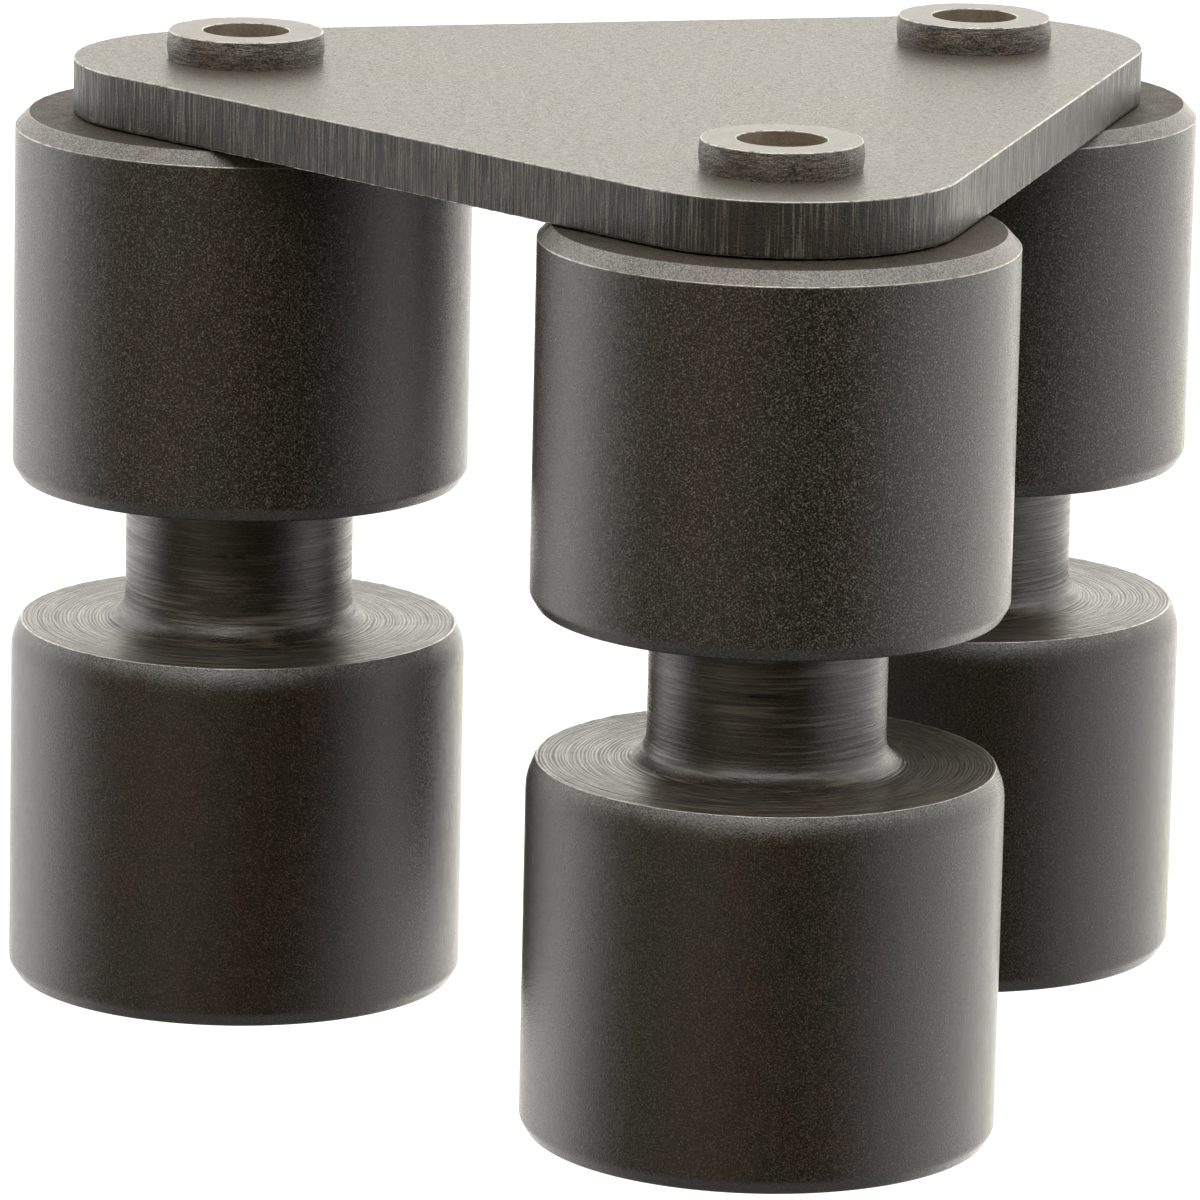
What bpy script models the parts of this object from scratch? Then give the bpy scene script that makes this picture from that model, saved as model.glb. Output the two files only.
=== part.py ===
"""Three-post pneumatic gripper head.

A triangular plate carries three single-acting air cylinders. Air enters each
one through the hollow stem whose flanged top end stands on the plate, and
pushes a piston with its plunger down, which opens the gap between the cylinder
and the round head of the plunger. A spring inside the plunger pulls it up
again, so that the two rims clamp an edge or a flange between them.

Units are metres and +Z is up. The origin is on the surface that the heads
stand on, under the middle of the bounding box. One post is towards -Y.
"""

import math

import bmesh
import bpy

MM = 0.001
CLEARANCE = 0.3 * MM

# Visible sizes
POST_DIAMETER = 25.4 * MM
POST_PITCH_RADIUS = 24.19 * MM
ROD_DIAMETER = 12.7 * MM
HEAD_HEIGHT = 20.32 * MM
GRIP_GAP = 8.26 * MM
CYLINDER_HEIGHT = 20.32 * MM
PLATE_SHADOW_GAP = CLEARANCE
PLATE_THICKNESS = 2.95 * MM
PLATE_CORNER_RADIUS = 9.525 * MM
COLLAR_HEIGHT = 1.5875 * MM
COLLAR_DIAMETER = 8.73 * MM
COLLAR_EDGE = 0.1 * MM
COLLAR_SEAT_DIAMETER = COLLAR_DIAMETER + 2 * CLEARANCE
COLLAR_SEAT_DEPTH = 0.5 * MM
PORT_DIAMETER = 4.76 * MM
NECK_FILLET = 1.5 * MM
CYLINDER_TOP_CHAMFER = 0.75 * MM
HEAD_TOP_CHAMFER_WIDTH = 0.5 * MM
HEAD_TOP_CHAMFER_DEPTH = 1.0 * MM
LOWER_CHAMFER_WIDTH = 0.45 * MM
LOWER_CHAMFER_DEPTH = 0.65 * MM

# Inner sizes
BORE_DIAMETER = 20.0 * MM
TOP_WALL = 2.4 * MM
STROKE = 5.0 * MM
SHANK_DIAMETER = 6.4 * MM
STEM_DIAMETER = 4.4 * MM
STEM_BORE_DIAMETER = 2.0 * MM
OUTLET_DIAMETER = 1.0 * MM
PORT_SEAL_WIDTH = 1.5 * MM
PORT_SEAL_DEPTH = 1.2 * MM
CUSHION_INNER_RADIUS = 6.0 * MM
CUSHION_HEIGHT = 0.5 * MM
ROD_GROOVE_WIDTH = 1.6 * MM
ROD_GROOVE_DEPTH = 1.35 * MM
GLAND_GROOVE_WIDTH = 1.5 * MM
GLAND_GROOVE_DEPTH = 1.2 * MM
PISTON_HEIGHT = 4.8 * MM
PISTON_EDGE = 0.3 * MM
PISTON_GROOVE_WIDTH = 1.9 * MM
PISTON_GROOVE_DEPTH = 1.4 * MM
STEM_SEAL_WIDTH = 1.5 * MM
STEM_SEAL_DEPTH = 1.2 * MM
SPIGOT_RADIUS = 4.5 * MM
SPIGOT_HEIGHT = 2.4 * MM
SPRING_BORE_RADIUS = 4.5 * MM
SPRING_LENGTH = 16.0 * MM
SPRING_COIL_RADIUS = 3.6 * MM
SPRING_WIRE = 0.8 * MM
SPRING_TURNS = 8
SPRING_CLOSED_PITCH = SPRING_WIRE * 1.2
SPRING_POINTS_PER_TURN = 8
NUT_HEIGHT = 3.2 * MM
NUT_FLATS = 7.0 * MM
PLUG_RADIUS = 5.2 * MM
PLUG_HEIGHT = 4.7 * MM
PLUG_RECESS = 0.4 * MM
PLUG_EDGE = 0.5 * MM
PLUG_SOCKET_FLATS = 5.0 * MM
PLUG_SOCKET_DEPTH = 2.5 * MM

# Levels, from the standing surface up
HEAD_TOP = HEAD_HEIGHT
CYLINDER_BOTTOM = HEAD_TOP + GRIP_GAP
CYLINDER_TOP = CYLINDER_BOTTOM + CYLINDER_HEIGHT
PLATE_BOTTOM = CYLINDER_TOP + PLATE_SHADOW_GAP
PLATE_TOP = PLATE_BOTTOM + PLATE_THICKNESS
COLLAR_TOP = PLATE_TOP + COLLAR_HEIGHT
CHAMBER_TOP = CYLINDER_TOP - TOP_WALL
SNAP_GROOVE_BOTTOM = CYLINDER_BOTTOM + 0.8 * MM
GLAND_BOTTOM = CYLINDER_BOTTOM + 2.3 * MM
GLAND_TOP = CYLINDER_BOTTOM + 6.7 * MM
ROD_GROOVE_BOTTOM = GLAND_BOTTOM + 0.6 * MM
GLAND_GROOVE_BOTTOM = GLAND_BOTTOM + 2.5 * MM
PISTON_BOTTOM = GLAND_TOP + STROKE + CLEARANCE
PISTON_TOP = PISTON_BOTTOM + PISTON_HEIGHT
PISTON_GROOVE_BOTTOM = PISTON_BOTTOM + 1.5 * MM
ROD_SHOULDER = PISTON_BOTTOM - CLEARANCE
SPIGOT_TOP = ROD_SHOULDER + SPIGOT_HEIGHT
SPRING_SHOULDER = CYLINDER_BOTTOM + 9.5 * MM
SPRING_TOP = SPRING_SHOULDER - CLEARANCE
SPRING_BOTTOM = SPRING_TOP - SPRING_LENGTH
NUT_TOP = SPRING_BOTTOM - CLEARANCE
STEM_BOTTOM = NUT_TOP - NUT_HEIGHT - 0.7 * MM
PLUG_BORE_TOP = 6.0 * MM

# Radii
POST_RADIUS = POST_DIAMETER / 2
ROD_RADIUS = ROD_DIAMETER / 2
BORE_RADIUS = BORE_DIAMETER / 2
SHANK_RADIUS = SHANK_DIAMETER / 2
STEM_RADIUS = STEM_DIAMETER / 2
SNAP_GROOVE_RADIUS = BORE_RADIUS + 0.8 * MM
SLIDING_RADIUS = BORE_RADIUS - CLEARANCE
ROD_GUIDE_RADIUS = ROD_RADIUS + CLEARANCE
STEM_GUIDE_RADIUS = STEM_RADIUS + CLEARANCE
SHANK_HOLE_RADIUS = SHANK_RADIUS + CLEARANCE

# Facets in a full turn
VISIBLE_STEPS = 32
INNER_STEPS = 16
ARC_STEPS = 12
WELD = 1e-6

TRIANGLE_CENTRE_Y = POST_PITCH_RADIUS / 4
POSTS = {"front": -90.0, "right": 30.0, "left": 150.0}

# Base colour, roughness and metallic value
FINISHES = {
    "black_oxide": ((0.075, 0.070, 0.063), 0.42, 0.85),
    "sheared_plate": ((0.120, 0.113, 0.100), 0.50, 0.80),
    "bronze": ((0.520, 0.330, 0.130), 0.35, 1.00),
    "light_alloy": ((0.600, 0.610, 0.620), 0.30, 1.00),
    "spring_steel": ((0.420, 0.420, 0.430), 0.28, 1.00),
    "seal_rubber": ((0.018, 0.018, 0.019), 0.70, 0.00),
}


def clear_scene():
    for old in list(bpy.data.objects):
        bpy.data.objects.remove(old, do_unlink=True)


def new_collection(name):
    collection = bpy.data.collections.new(name)
    bpy.context.scene.collection.children.link(collection)
    return collection


def make_materials():
    made = {}
    for name, (color, roughness, metallic) in FINISHES.items():
        material = bpy.data.materials.new(name)
        material.use_nodes = True
        shader = material.node_tree.nodes["Principled BSDF"]
        shader.inputs["Base Color"].default_value = (*color, 1.0)
        shader.inputs["Roughness"].default_value = roughness
        shader.inputs["Metallic"].default_value = metallic
        made[name] = material
    return made


def post_centre(degrees):
    angle = math.radians(degrees)
    x = POST_PITCH_RADIUS * math.cos(angle)
    y = TRIANGLE_CENTRE_Y + POST_PITCH_RADIUS * math.sin(angle)
    return x, y


def arc(centre_x, centre_y, radius, start, end, steps):
    """Points on an arc, with its angles in degrees."""
    points = []
    for step in range(steps + 1):
        angle = math.radians(start + (end - start) * step / steps)
        x = centre_x + radius * math.cos(angle)
        y = centre_y + radius * math.sin(angle)
        points.append((x, y))
    return points


def place(obj, finish, parent):
    parts.objects.link(obj)
    obj.data.materials.append(materials[finish])
    obj.parent = parent
    return obj


def turned(name, profile, finish, parent, steps=INNER_STEPS, ring=True):
    """A turned piece. Its profile of (radius, level) pairs runs down the
    outer side. A ring's profile closes on itself, and any other starts and
    ends on the axis."""
    mesh = bpy.data.meshes.new(name)
    points = [(radius, 0.0, level) for radius, level in profile]
    edges = [(i, i + 1) for i in range(len(points) - 1)]
    if ring:
        edges.append((len(points) - 1, 0))
    mesh.from_pydata(points, edges, [])
    obj = place(bpy.data.objects.new(name, mesh), finish, parent)
    screw = obj.modifiers.new("Turn", "SCREW")
    screw.steps = steps
    screw.render_steps = steps
    screw.use_merge_vertices = True
    screw.merge_threshold = WELD
    screw.use_smooth_shade = True
    return obj


def ring_profile(inner, outer, bottom, top):
    return [(inner, top), (outer, top), (outer, bottom), (inner, bottom)]


def prism_cutter(name, flats, sides, bottom, top, parent):
    """A cutter with a regular outline, given its width across flats."""
    mesh = bpy.data.meshes.new(name)
    shape = bmesh.new()
    radius = flats / 2 / math.cos(math.pi / sides)
    bmesh.ops.create_cone(
        shape, cap_ends=True, segments=sides, radius1=radius, radius2=radius, depth=top - bottom
    )
    shape.to_mesh(mesh)
    shape.free()
    cutter = bpy.data.objects.new(name, mesh)
    cutters.objects.link(cutter)
    cutter.parent = parent
    cutter.location.z = (bottom + top) / 2
    cutter.hide_render = True
    cutter.display_type = "WIRE"
    return cutter


def cut(obj, cutter):
    boolean = obj.modifiers.new("Cut " + cutter.name, "BOOLEAN")
    boolean.object = cutter
    boolean.operation = "DIFFERENCE"
    boolean.solver = "EXACT"


def flat_piece(name, outlines, bottom, top, finish, parent):
    """A flat piece from outlines in X and Y. The first is its edge, and the others are holes."""
    curve = bpy.data.curves.new(name, "CURVE")
    curve.dimensions = "2D"
    curve.fill_mode = "BOTH"
    curve.extrude = (top - bottom) / 2
    for outline in outlines:
        spline = curve.splines.new("POLY")
        spline.points.add(len(outline) - 1)
        for point, (x, y) in zip(spline.points, outline):
            point.co = (x, y, 0.0, 1.0)
        spline.use_cyclic_u = True
    obj = place(bpy.data.objects.new(name, curve), finish, parent)
    obj.location.z = (bottom + top) / 2
    return obj


def mounting_plate():
    """A plate whose corners are rounded about the posts. Over each post it has
    a hole for the stem's shank, and a shallow seat that the collar sits in."""
    edge = []
    holes = []
    seats = []
    for post, degrees in POSTS.items():
        x, y = post_centre(degrees)
        edge += arc(x, y, PLATE_CORNER_RADIUS, degrees - 60, degrees + 60, ARC_STEPS)
        holes.append(arc(x, y, SHANK_HOLE_RADIUS, 0, 360, INNER_STEPS)[:-1])
        floor = PLATE_TOP - COLLAR_SEAT_DEPTH
        name = f"collar_seat_{post}"
        seat = prism_cutter(name, COLLAR_SEAT_DIAMETER, INNER_STEPS, floor, PLATE_TOP + MM, None)
        seat.location.xy = (x, y)
        seats.append(seat)
    shape = bmesh.new()
    boundary = []
    for loop in (edge, *holes):
        ring = [shape.verts.new((x, y, PLATE_BOTTOM)) for x, y in loop]
        boundary += [shape.edges.new((ring[i - 1], ring[i])) for i in range(len(ring))]
    bmesh.ops.triangle_fill(shape, edges=boundary, use_beauty=True)
    raised = bmesh.ops.extrude_face_region(shape, geom=shape.faces[:])["geom"]
    lifted = [item for item in raised if isinstance(item, bmesh.types.BMVert)]
    bmesh.ops.translate(shape, verts=lifted, vec=(0.0, 0.0, PLATE_THICKNESS))
    bmesh.ops.recalc_face_normals(shape, faces=shape.faces)
    mesh = bpy.data.meshes.new("mounting_plate")
    shape.to_mesh(mesh)
    shape.free()
    plate = place(bpy.data.objects.new("mounting_plate", mesh), "sheared_plate", None)
    for seat in seats:
        cut(plate, seat)


def cylinder_body(post, fixed):
    seal_pocket = SHANK_HOLE_RADIUS + PORT_SEAL_WIDTH
    seal_pocket_floor = CYLINDER_TOP - PORT_SEAL_DEPTH
    profile = [
        (seal_pocket, CYLINDER_TOP),
        (POST_RADIUS - CYLINDER_TOP_CHAMFER, CYLINDER_TOP),
        (POST_RADIUS, CYLINDER_TOP - CYLINDER_TOP_CHAMFER),
        (POST_RADIUS, CYLINDER_BOTTOM + LOWER_CHAMFER_DEPTH),
        (POST_RADIUS - LOWER_CHAMFER_WIDTH, CYLINDER_BOTTOM),
        (BORE_RADIUS, CYLINDER_BOTTOM),
        (BORE_RADIUS, SNAP_GROOVE_BOTTOM),
        (SNAP_GROOVE_RADIUS, SNAP_GROOVE_BOTTOM),
        (SNAP_GROOVE_RADIUS, GLAND_BOTTOM),
        (BORE_RADIUS, GLAND_BOTTOM),
        (BORE_RADIUS, CHAMBER_TOP),
        (SHANK_HOLE_RADIUS, CHAMBER_TOP),
        (SHANK_HOLE_RADIUS, seal_pocket_floor),
        (seal_pocket, seal_pocket_floor),
    ]
    turned(f"cylinder_body_{post}", profile, "black_oxide", fixed, VISIBLE_STEPS)
    seal = ring_profile(
        SHANK_HOLE_RADIUS, seal_pocket - CLEARANCE, seal_pocket_floor + CLEARANCE, CYLINDER_TOP
    )
    turned(f"port_seal_{post}", seal, "seal_rubber", fixed)


def port_stem(post, fixed):
    """The hollow stem: its collar on the plate is the air port, its shank
    screws into the cylinder's top, and its lower end carries the spring."""
    port_radius = PORT_DIAMETER / 2
    bore_radius = STEM_BORE_DIAMETER / 2
    collar_radius = COLLAR_DIAMETER / 2
    collar_bottom = PLATE_TOP - COLLAR_SEAT_DEPTH + CLEARANCE
    outlet_level = (PISTON_TOP + CHAMBER_TOP) / 2
    bore_bottom = outlet_level - bore_radius
    profile = [
        (0.0, bore_bottom),
        (bore_radius, bore_bottom),
        (bore_radius, PLATE_BOTTOM),
        (port_radius, PLATE_BOTTOM),
        (port_radius, COLLAR_TOP),
        (collar_radius - COLLAR_EDGE, COLLAR_TOP),
        (collar_radius, COLLAR_TOP - COLLAR_EDGE),
        (collar_radius, collar_bottom),
        (SHANK_RADIUS, collar_bottom),
        (SHANK_RADIUS, CHAMBER_TOP),
        (STEM_RADIUS, CHAMBER_TOP),
        (STEM_RADIUS, STEM_BOTTOM),
        (0.0, STEM_BOTTOM),
    ]
    stem = turned(f"port_stem_{post}", profile, "black_oxide", fixed, INNER_STEPS, ring=False)
    name = f"outlet_drill_{post}"
    drill = prism_cutter(name, OUTLET_DIAMETER, 8, 0.0, STEM_DIAMETER, fixed)
    drill.rotation_euler.y = math.pi / 2
    drill.location = (STEM_RADIUS, 0.0, outlet_level)
    cut(stem, drill)


def cushion_ring(post, fixed):
    top = CHAMBER_TOP - CLEARANCE
    outer = SLIDING_RADIUS - CLEARANCE
    profile = ring_profile(CUSHION_INNER_RADIUS, outer, top - CUSHION_HEIGHT, top)
    turned(f"cushion_ring_{post}", profile, "seal_rubber", fixed)


def gland(post, fixed):
    """The bush that guides the rod and closes the cylinder, with a seal in and a seal outside it."""
    rod_groove_top = ROD_GROOVE_BOTTOM + ROD_GROOVE_WIDTH
    rod_groove_floor = ROD_GUIDE_RADIUS + ROD_GROOVE_DEPTH
    outer_groove_top = GLAND_GROOVE_BOTTOM + GLAND_GROOVE_WIDTH
    outer_groove_floor = SLIDING_RADIUS - GLAND_GROOVE_DEPTH
    profile = [
        (ROD_GUIDE_RADIUS, GLAND_TOP),
        (SLIDING_RADIUS, GLAND_TOP),
        (SLIDING_RADIUS, outer_groove_top),
        (outer_groove_floor, outer_groove_top),
        (outer_groove_floor, GLAND_GROOVE_BOTTOM),
        (SLIDING_RADIUS, GLAND_GROOVE_BOTTOM),
        (SLIDING_RADIUS, GLAND_BOTTOM),
        (ROD_GUIDE_RADIUS, GLAND_BOTTOM),
        (ROD_GUIDE_RADIUS, ROD_GROOVE_BOTTOM),
        (rod_groove_floor, ROD_GROOVE_BOTTOM),
        (rod_groove_floor, rod_groove_top),
        (ROD_GUIDE_RADIUS, rod_groove_top),
    ]
    turned(f"gland_bush_{post}", profile, "bronze", fixed)
    rod_seal = ring_profile(
        ROD_GUIDE_RADIUS,
        rod_groove_floor - CLEARANCE,
        ROD_GROOVE_BOTTOM + CLEARANCE,
        rod_groove_top - CLEARANCE,
    )
    turned(f"rod_seal_{post}", rod_seal, "seal_rubber", fixed)
    gland_seal = ring_profile(
        outer_groove_floor + CLEARANCE,
        SLIDING_RADIUS,
        GLAND_GROOVE_BOTTOM + CLEARANCE,
        outer_groove_top - CLEARANCE,
    )
    turned(f"gland_seal_{post}", gland_seal, "seal_rubber", fixed)


def retaining_ring(post, fixed):
    """A snap ring: an open ring in the cylinder's groove, with an eye at each end."""
    outer = SNAP_GROOVE_RADIUS - CLEARANCE
    inner = BORE_RADIUS - 1.1 * MM
    eye_inner = inner - 0.9 * MM
    eye_centre = (inner + outer) / 2 - 0.6 * MM
    eye_hole_radius = 0.45 * MM
    opening = 16.0
    eye_end = opening + 9.0
    eye_middle = (opening + eye_end) / 2
    edge = arc(0, 0, outer, opening, 360 - opening, ARC_STEPS * 2)
    edge += arc(0, 0, eye_inner, 360 - opening, 360 - eye_end, 1)
    edge += arc(0, 0, inner, 360 - eye_end, eye_end, ARC_STEPS * 2)
    edge += arc(0, 0, eye_inner, eye_end, opening, 1)
    holes = []
    for degrees in (eye_middle, -eye_middle):
        x = eye_centre * math.cos(math.radians(degrees))
        y = eye_centre * math.sin(math.radians(degrees))
        holes.append(arc(x, y, eye_hole_radius, 0, 360, 8)[:-1])
    bottom = SNAP_GROOVE_BOTTOM + CLEARANCE
    name = f"retaining_ring_{post}"
    flat_piece(name, [edge, *holes], bottom, GLAND_BOTTOM - CLEARANCE, "spring_steel", fixed)


def stem_nut(post, fixed):
    """A hexagon nut that carries the spring on the stem's lower end."""
    name = f"stem_nut_{post}"
    mesh = bpy.data.meshes.new(name)
    shape = bmesh.new()
    radius = NUT_FLATS / 2 / math.cos(math.pi / 6)
    bmesh.ops.create_cone(
        shape, cap_ends=True, segments=6, radius1=radius, radius2=radius, depth=NUT_HEIGHT
    )
    shape.to_mesh(mesh)
    shape.free()
    nut = place(bpy.data.objects.new(name, mesh), "spring_steel", fixed)
    nut.location.z = NUT_TOP - NUT_HEIGHT / 2
    bottom = NUT_TOP - NUT_HEIGHT - MM
    hole = prism_cutter(
        f"nut_hole_{post}", STEM_GUIDE_RADIUS * 2, INNER_STEPS, bottom, NUT_TOP + MM, fixed
    )
    cut(nut, hole)


def return_spring(post, fixed):
    """A compression spring round the stem, with a closed turn at each end."""
    open_turns = SPRING_TURNS - 2
    open_length = SPRING_LENGTH - SPRING_WIRE - 2 * SPRING_CLOSED_PITCH
    open_pitch = open_length / open_turns
    name = f"return_spring_{post}"
    curve = bpy.data.curves.new(name, "CURVE")
    curve.dimensions = "3D"
    curve.bevel_depth = SPRING_WIRE / 2
    curve.bevel_resolution = 1
    curve.use_fill_caps = True
    spline = curve.splines.new("POLY")
    spline.points.add(SPRING_TURNS * SPRING_POINTS_PER_TURN)
    for step, point in enumerate(spline.points):
        turn = step / SPRING_POINTS_PER_TURN
        rise = min(turn, 1) * SPRING_CLOSED_PITCH
        rise += min(max(turn - 1, 0), open_turns) * open_pitch
        rise += max(turn - 1 - open_turns, 0) * SPRING_CLOSED_PITCH
        angle = 2 * math.pi * turn
        x = SPRING_COIL_RADIUS * math.cos(angle)
        y = SPRING_COIL_RADIUS * math.sin(angle)
        point.co = (x, y, SPRING_BOTTOM + SPRING_WIRE / 2 + rise, 1.0)
    place(bpy.data.objects.new(name, curve), "spring_steel", fixed)


def piston(post, moving):
    """The piston, screwed on the rod's spigot. The stem's seal sits between them."""
    spigot_hole = SPIGOT_RADIUS + CLEARANCE
    spigot_hole_top = SPIGOT_TOP + CLEARANCE
    seal_pocket = STEM_GUIDE_RADIUS + STEM_SEAL_WIDTH
    seal_pocket_top = spigot_hole_top + STEM_SEAL_DEPTH
    groove_top = PISTON_GROOVE_BOTTOM + PISTON_GROOVE_WIDTH
    groove_floor = SLIDING_RADIUS - PISTON_GROOVE_DEPTH
    profile = [
        (STEM_GUIDE_RADIUS, PISTON_TOP),
        (SLIDING_RADIUS - PISTON_EDGE, PISTON_TOP),
        (SLIDING_RADIUS, PISTON_TOP - PISTON_EDGE),
        (SLIDING_RADIUS, groove_top),
        (groove_floor, groove_top),
        (groove_floor, PISTON_GROOVE_BOTTOM),
        (SLIDING_RADIUS, PISTON_GROOVE_BOTTOM),
        (SLIDING_RADIUS, PISTON_BOTTOM),
        (spigot_hole, PISTON_BOTTOM),
        (spigot_hole, spigot_hole_top),
        (seal_pocket, spigot_hole_top),
        (seal_pocket, seal_pocket_top),
        (STEM_GUIDE_RADIUS, seal_pocket_top),
    ]
    turned(f"piston_{post}", profile, "light_alloy", moving)
    piston_seal = ring_profile(
        groove_floor + CLEARANCE,
        SLIDING_RADIUS,
        PISTON_GROOVE_BOTTOM + CLEARANCE,
        groove_top - CLEARANCE,
    )
    turned(f"piston_seal_{post}", piston_seal, "seal_rubber", moving)
    stem_seal = ring_profile(
        STEM_GUIDE_RADIUS,
        seal_pocket - CLEARANCE,
        spigot_hole_top,
        seal_pocket_top - CLEARANCE,
    )
    turned(f"stem_seal_{post}", stem_seal, "seal_rubber", moving)


def jaw_plunger(post, moving):
    """The rod and the round head, turned in one piece and bored for the spring."""
    fillet_centre = ROD_RADIUS + NECK_FILLET
    fillet = arc(fillet_centre, HEAD_TOP + NECK_FILLET, NECK_FILLET, 180, 270, 4)
    plug_bore = PLUG_RADIUS + CLEARANCE
    profile = [
        (STEM_GUIDE_RADIUS, SPIGOT_TOP),
        (SPIGOT_RADIUS, SPIGOT_TOP),
        (SPIGOT_RADIUS, ROD_SHOULDER),
        (ROD_RADIUS, ROD_SHOULDER),
        *fillet,
        (POST_RADIUS - HEAD_TOP_CHAMFER_WIDTH, HEAD_TOP),
        (POST_RADIUS, HEAD_TOP - HEAD_TOP_CHAMFER_DEPTH),
        (POST_RADIUS, LOWER_CHAMFER_DEPTH),
        (POST_RADIUS - LOWER_CHAMFER_WIDTH, 0.0),
        (plug_bore, 0.0),
        (plug_bore, PLUG_BORE_TOP),
        (SPRING_BORE_RADIUS, PLUG_BORE_TOP),
        (SPRING_BORE_RADIUS, SPRING_SHOULDER),
        (STEM_GUIDE_RADIUS, SPRING_SHOULDER),
    ]
    turned(f"jaw_plunger_{post}", profile, "black_oxide", moving, VISIBLE_STEPS)


def head_plug(post, moving):
    """A screw plug with a hexagon socket, which closes the head's bore."""
    top = PLUG_RECESS + PLUG_HEIGHT
    profile = [
        (0.0, top),
        (PLUG_RADIUS, top),
        (PLUG_RADIUS, PLUG_RECESS + PLUG_EDGE),
        (PLUG_RADIUS - PLUG_EDGE, PLUG_RECESS),
        (0.0, PLUG_RECESS),
    ]
    plug = turned(f"head_plug_{post}", profile, "black_oxide", moving, INNER_STEPS, ring=False)
    socket_top = PLUG_RECESS + PLUG_SOCKET_DEPTH
    socket = prism_cutter(f"plug_socket_{post}", PLUG_SOCKET_FLATS, 6, -MM, socket_top, moving)
    cut(plug, socket)


def axis_empty(name, x, y, z, parent=None):
    empty = bpy.data.objects.new(name, None)
    parts.objects.link(empty)
    empty.empty_display_size = 5 * MM
    empty.parent = parent
    empty.location = (x, y, z)
    return empty


clear_scene()
parts = new_collection("pneumatic_gripper")
cutters = new_collection("cutters")
cutters.hide_render = True
materials = make_materials()
mounting_plate()
for post_name, post_degrees in POSTS.items():
    post_x, post_y = post_centre(post_degrees)
    fixed_axis = axis_empty(f"post_axis_{post_name}", post_x, post_y, 0.0)
    slide_axis = axis_empty(f"slide_axis_{post_name}", 0.0, 0.0, 0.0, fixed_axis)
    cylinder_body(post_name, fixed_axis)
    port_stem(post_name, fixed_axis)
    cushion_ring(post_name, fixed_axis)
    gland(post_name, fixed_axis)
    retaining_ring(post_name, fixed_axis)
    stem_nut(post_name, fixed_axis)
    return_spring(post_name, fixed_axis)
    piston(post_name, slide_axis)
    jaw_plunger(post_name, slide_axis)
    head_plug(post_name, slide_axis)
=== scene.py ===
"""Looks of the three-post pneumatic gripper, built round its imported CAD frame.

Lengths are in metres. The pieces of a post are built about the Z axis and then
placed, so that a material can use the distance from the post's own axis.
"""

import math

import bmesh
import bpy
from mathutils import Matrix, Vector, noise


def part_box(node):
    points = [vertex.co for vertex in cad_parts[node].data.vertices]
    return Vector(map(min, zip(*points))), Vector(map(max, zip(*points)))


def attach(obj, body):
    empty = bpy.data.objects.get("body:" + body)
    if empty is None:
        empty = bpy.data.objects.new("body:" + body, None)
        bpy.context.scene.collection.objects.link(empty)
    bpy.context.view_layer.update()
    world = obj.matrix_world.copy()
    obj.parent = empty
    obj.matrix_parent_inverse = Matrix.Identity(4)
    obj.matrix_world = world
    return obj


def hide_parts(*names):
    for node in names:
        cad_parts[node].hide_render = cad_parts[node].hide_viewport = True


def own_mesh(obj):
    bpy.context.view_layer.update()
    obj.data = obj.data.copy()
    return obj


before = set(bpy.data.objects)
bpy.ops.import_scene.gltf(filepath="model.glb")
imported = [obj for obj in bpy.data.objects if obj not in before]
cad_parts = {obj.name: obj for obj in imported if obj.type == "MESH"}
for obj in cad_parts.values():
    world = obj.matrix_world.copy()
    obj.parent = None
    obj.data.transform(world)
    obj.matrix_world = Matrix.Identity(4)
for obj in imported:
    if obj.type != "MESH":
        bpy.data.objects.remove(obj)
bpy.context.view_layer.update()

MM = 0.001
# The gap that the CAD keeps between pieces that touch on the real object
CLEARANCE = 0.3 * MM

# Levels of the CAD model, from the standing surface up
HEAD_TOP = 20.32 * MM
CYLINDER_BOTTOM = 28.58 * MM
CYLINDER_TOP = 48.90 * MM
PLATE_BOTTOM = 49.20 * MM
PLATE_TOP = 52.15 * MM
COLLAR_TOP = 53.7375 * MM
CHAMBER_TOP = CYLINDER_TOP - 2.4 * MM
SEAL_POCKET_FLOOR = CYLINDER_TOP - 1.2 * MM
COLLAR_SEAT_FLOOR = PLATE_TOP - 0.5 * MM
GLAND_BOTTOM = CYLINDER_BOTTOM + 2.3 * MM
GLAND_TOP = CYLINDER_BOTTOM + 6.7 * MM
ROD_GROOVE_BOTTOM = GLAND_BOTTOM + 0.6 * MM
ROD_GROOVE_WIDTH = 1.6 * MM
GLAND_GROOVE_BOTTOM = GLAND_BOTTOM + 2.5 * MM
GLAND_GROOVE_WIDTH = 1.5 * MM
SNAP_GROOVE_BOTTOM = CYLINDER_BOTTOM + 0.8 * MM
PISTON_BOTTOM = GLAND_TOP + 5.3 * MM
PISTON_TOP = PISTON_BOTTOM + 4.8 * MM
ROD_SHOULDER = PISTON_BOTTOM - CLEARANCE
SPIGOT_TOP = ROD_SHOULDER + 2.4 * MM
SPRING_SHOULDER = CYLINDER_BOTTOM + 9.5 * MM
SPRING_TOP = SPRING_SHOULDER - CLEARANCE
SPRING_LENGTH = 16.0 * MM
SPRING_BOTTOM = SPRING_TOP - SPRING_LENGTH
STEM_BOTTOM = SPRING_BOTTOM - CLEARANCE - 3.9 * MM
PLUG_BORE_TOP = 6.0 * MM
PLUG_BOTTOM = 0.4 * MM
PLUG_TOP = 5.1 * MM

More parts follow.
